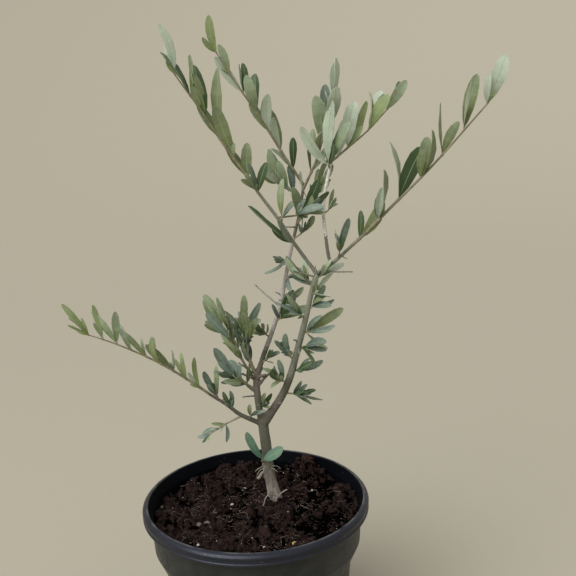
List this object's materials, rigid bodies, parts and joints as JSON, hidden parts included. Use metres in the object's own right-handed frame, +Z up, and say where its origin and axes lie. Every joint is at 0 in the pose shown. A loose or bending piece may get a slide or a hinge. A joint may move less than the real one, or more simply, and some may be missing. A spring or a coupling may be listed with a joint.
{
  "type": "potted olive tree",
  "caption": "Young olive tree in a round black nursery pot: a slender forked trunk with open, upward sprays of narrow grey-green leaves.",
  "frame": {"origin": "centre of the pot's flat underside", "axes": "+Z up the plant, +X to the right and +Y to the back as the plant is seen from its front"},
  "size_m": [0.3345, 0.2123, 0.5385],
  "materials": {
    "pot": "satin black moulded plastic with dusty scuffs",
    "soil": "dark damp peat compost with fibres",
    "bark": "thin grey-brown young bark",
    "foliage": "leathery olive leaves, grey-green above and silvery below"
  },
  "bodies": {
    "root": {"pot": "pot", "soil": "soil", "trunk": "bark", "bough_centre": "bark", "bough_left_lower": "bark", "bough_left_upper": "bark", "bough_low_left": "bark", "bough_right": "bark", "bough_upper_left": "bark", "bough_upper_right": "bark", "twig_left_lower_1": "bark", "twig_left_upper_1": "bark", "twig_right_1": "bark", "twig_upper_right_1": "bark", "spray_back_right": "foliage", "spray_centre_left": "foliage", "spray_centre_low": "foliage", "spray_foot_left": "foliage", "spray_knot_left": "foliage", "spray_knot_low": "foliage", "spray_knot_outer": "foliage", "spray_low_left": "foliage", "spray_right": "foliage", "spray_top": "foliage", "spray_top_left": "foliage", "spray_trunk_foot": "foliage", "spray_upper_left": "foliage", "spur_centre_1": "foliage", "spur_centre_2": "foliage", "spur_left_lower_1": "foliage", "spur_left_upper_1": "foliage", "spur_left_upper_2": "foliage", "spur_left_upper_3": "foliage", "spur_left_upper_4": "foliage", "spur_left_upper_5": "foliage", "spur_left_upper_6": "foliage", "spur_left_upper_7": "foliage", "spur_left_upper_8": "foliage", "spur_low_left_1": "foliage", "spur_low_left_2": "foliage", "spur_low_left_3": "foliage", "spur_right_1": "foliage", "spur_right_2": "foliage", "spur_right_3": "foliage", "spur_right_4": "foliage", "spur_right_5": "foliage", "spur_right_6": "foliage", "spur_right_7": "foliage", "spur_right_8": "foliage", "spur_right_9": "foliage", "spur_right_10": "foliage", "spur_right_11": "foliage", "spur_upper_left_1": "foliage", "spur_upper_left_2": "foliage", "spur_upper_left_3": "foliage", "spur_upper_left_4": "foliage", "spur_upper_right_1": "foliage"}
  },
  "joints": []
}
